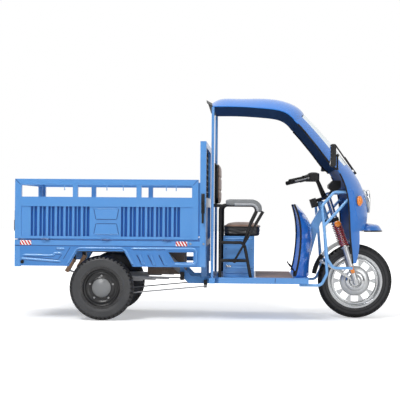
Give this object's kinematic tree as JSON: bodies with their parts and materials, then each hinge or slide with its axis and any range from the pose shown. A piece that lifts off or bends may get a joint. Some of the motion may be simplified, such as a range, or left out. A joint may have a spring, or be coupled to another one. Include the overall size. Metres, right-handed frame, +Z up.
{
  "type": "electric cargo tricycle",
  "caption": "Three-wheeled electric cargo tricycle with a drop-side bed, a roofed cab with windscreen and seat, a sprung front fork and a leaf-sprung rear axle.",
  "frame": {"origin": "on the ground, below the middle of the overall box", "axes": "+X forward, +Y to the rider's left, +Z up"},
  "size_m": [2.9529, 1.16, 1.7419],
  "materials": {
    "body_blue": "gloss paint",
    "frame_blue": "gloss light blue paint",
    "frame_black": "satin black paint",
    "chassis_grey": "grey primer paint",
    "rim_black": "satin black paint",
    "alloy": "cast and turned",
    "steel": "bare steel",
    "chrome": "polished",
    "spring_red": "gloss red paint",
    "tyre": "matte rubber",
    "rubber_black": "matte rubber",
    "plastic_black": "textured",
    "plastic_grey": "matt grey",
    "plastic_brown": "matt brown",
    "mat_brown": "matt brown",
    "seat_brown": "soft sheen",
    "amber": "clear amber",
    "red_lens": "clear red",
    "lens": "clear",
    "screen": "clear"
  },
  "bodies": {
    "chassis": {"armrests": "plastic_grey", "backrest": "seat_brown", "batteries": "plastic_black", "bed_floor": "body_blue", "bed_skirts": "body_blue", "cab_posts": "frame_black", "canopy": "body_blue", "chassis_frame": "chassis_grey", "fairing": "body_blue", "floor_mat": "mat_brown", "floor_pan": "body_blue", "frame_brackets": "frame_black", "front_frame": "frame_blue", "guard_bars": "frame_blue", "headboard": "body_blue", "headboard_mesh": "frame_black", "headlamp": "lens", "leaf_springs": "steel", "leg_shield": "body_blue", "nose_beak": "body_blue", "rear_visor": "plastic_black", "seat_box": "body_blue", "seat_frame": "frame_black", "spring_shackles": "frame_black", "tail_lamps": "red_lens", "turn_signals": "amber", "under_box": "plastic_brown", "windscreen": "screen"},
    "front_wheel": {"front_tyre": "tyre", "front_rim": "alloy"},
    "rear_wheel_right": {"rear_tyre_right": "tyre", "rear_rim_right": "rim_black"},
    "rear_wheel_left": {"rear_tyre_left": "tyre", "rear_rim_left": "rim_black"},
    "rear_suspension": {"rear_axle": "steel", "drive_motor": "alloy"},
    "brake_linkage": {"brake_rods": "steel"},
    "gate_right": {"side_gate_right": "body_blue"},
    "gate_left": {"side_gate_left": "body_blue"},
    "gate_rear": {"tailgate": "body_blue"},
    "toggle_front_right": {"latch_front_right": "frame_black"},
    "toggle_front_left": {"latch_front_left": "frame_black"},
    "toggle_rear_right": {"latch_rear_right": "frame_black"},
    "toggle_rear_left": {"latch_rear_left": "frame_black"},
    "seat_lid": {"seat_cushion": "seat_brown"},
    "hand_brake": {"parking_lever": "frame_black"},
    "foot_brake": {"brake_pedal": "plastic_black"},
    "steering": {"fork_stanchions": "chrome", "fork_springs": "spring_red", "fork_yoke": "frame_black", "handlebar": "chrome", "bar_controls": "plastic_black", "instruments": "plastic_black"},
    "fork_lower": {"fork_sliders": "alloy", "front_mudguard": "chrome"},
    "throttle": {"throttle_grip": "rubber_black"},
    "hand_lever": {"brake_lever": "chrome"},
    "view_mirror_left": {"mirror_left": "plastic_black"},
    "view_mirror_right": {"mirror_right": "plastic_black"},
    "wiper_arm": {"wiper": "plastic_black"}
  },
  "joints": [
    {"name": "steer", "type": "hinge", "parent": "chassis", "child": "steering", "pos_m": [0.92807, 0, 0.84369], "axis": [-0.309, 0, 0.9511], "range_deg": [-35, 35]},
    {"name": "fork_travel", "type": "slide", "parent": "steering", "child": "fork_lower", "axis": [-0.309, 0, 0.9511], "range_m": [-0.01, 0.05], "stiffness_N_per_m": 20000, "springref_m": -0.045, "deforming": ["fork_springs"]},
    {"name": "front_wheel_spin", "type": "hinge", "parent": "fork_lower", "child": "front_wheel", "pos_m": [1.181, 0, 0.295], "axis": [0, 1, 0], "continuous": true},
    {"name": "rear_travel", "type": "slide", "parent": "chassis", "child": "rear_suspension", "axis": [0, 0, 1], "range_m": [-0.02, 0.035], "stiffness_N_per_m": 45000, "springref_m": -0.033, "deforming": ["leaf_springs", "spring_shackles"]},
    {"name": "rear_wheel_right_spin", "type": "hinge", "parent": "rear_suspension", "child": "rear_wheel_right", "pos_m": [-0.788, -0.425, 0.25], "axis": [0, 1, 0], "continuous": true},
    {"name": "rear_wheel_left_spin", "type": "hinge", "parent": "rear_suspension", "child": "rear_wheel_left", "pos_m": [-0.788, 0.425, 0.25], "axis": [0, 1, 0], "continuous": true},
    {"name": "brake_rod_swing", "type": "hinge", "parent": "chassis", "child": "brake_linkage", "pos_m": [0.002, 0, 0.262], "axis": [0, 1, 0], "range_deg": [-2, 3.2]},
    {"name": "gate_right_drop", "type": "hinge", "parent": "chassis", "child": "gate_right", "pos_m": [-0.748, -0.5085, 0.619], "axis": [1, 0, 0], "range_deg": [0, 170]},
    {"name": "gate_left_drop", "type": "hinge", "parent": "chassis", "child": "gate_left", "pos_m": [-0.748, 0.5085, 0.619], "axis": [-1, 0, 0], "range_deg": [0, 170]},
    {"name": "gate_rear_drop", "type": "hinge", "parent": "chassis", "child": "gate_rear", "pos_m": [-1.4575, 0, 0.619], "axis": [0, -1, 0], "range_deg": [0, 150]},
    {"name": "toggle_front_right_lift", "type": "hinge", "parent": "chassis", "child": "toggle_front_right", "pos_m": [-0.0125, -0.516, 0.9], "axis": [-1, 0, 0], "range_deg": [0, 110]},
    {"name": "toggle_front_left_lift", "type": "hinge", "parent": "chassis", "child": "toggle_front_left", "pos_m": [-0.0125, 0.516, 0.9], "axis": [1, 0, 0], "range_deg": [0, 110]},
    {"name": "toggle_rear_right_lift", "type": "hinge", "parent": "gate_rear", "child": "toggle_rear_right", "pos_m": [-1.465, -0.395, 0.83], "axis": [0, 1, 0], "range_deg": [0, 110]},
    {"name": "toggle_rear_left_lift", "type": "hinge", "parent": "gate_rear", "child": "toggle_rear_left", "pos_m": [-1.465, 0.395, 0.83], "axis": [0, 1, 0], "range_deg": [0, 110]},
    {"name": "seat_lid_lift", "type": "hinge", "parent": "chassis", "child": "seat_lid", "pos_m": [0.135, 0, 0.6524], "axis": [0, -1, 0], "range_deg": [0, 55]},
    {"name": "hand_brake_swing", "type": "hinge", "parent": "chassis", "child": "hand_brake", "pos_m": [0.228, -0.423, 0.466], "axis": [0, 1, 0], "range_deg": [0, 30]},
    {"name": "foot_brake_swing", "type": "hinge", "parent": "chassis", "child": "foot_brake", "pos_m": [0.7, -0.15, 0.364], "axis": [0, 1, 0], "range_deg": [0, 18], "stiffness_Nm_per_rad": 12, "springref_deg": -8.59},
    {"name": "throttle_turn", "type": "hinge", "parent": "steering", "child": "throttle", "pos_m": [0.655, -0.33, 1.078], "axis": [-0.7699, -0.6106, -0.1858], "range_deg": [0, 60], "stiffness_Nm_per_rad": 0.4, "springref_deg": -17.19},
    {"name": "hand_lever_pull", "type": "hinge", "parent": "steering", "child": "hand_lever", "pos_m": [0.79195, -0.2686, 1.1055], "axis": [0.1457, 0.1155, -0.9826], "range_deg": [0, 10], "stiffness_Nm_per_rad": 4, "springref_deg": -8.59},
    {"name": "mirror_left_swing", "type": "hinge", "parent": "chassis", "child": "view_mirror_left", "pos_m": [0.9964, 0.525, 1.268], "axis": [0, 0, 1], "range_deg": [-25, 25]},
    {"name": "mirror_right_swing", "type": "hinge", "parent": "chassis", "child": "view_mirror_right", "pos_m": [0.9964, -0.525, 1.268], "axis": [0, 0, 1], "range_deg": [-25, 25]},
    {"name": "wiper_sweep", "type": "hinge", "parent": "chassis", "child": "wiper_arm", "pos_m": [1.1653, 0, 1.1476], "axis": [0.8216, 0, 0.5701], "range_deg": [-40, 40]}
  ],
  "couplings": [
    {"joint": "brake_rod_swing", "follows": "rear_travel", "rad_per_m": 1.3333}
  ]
}
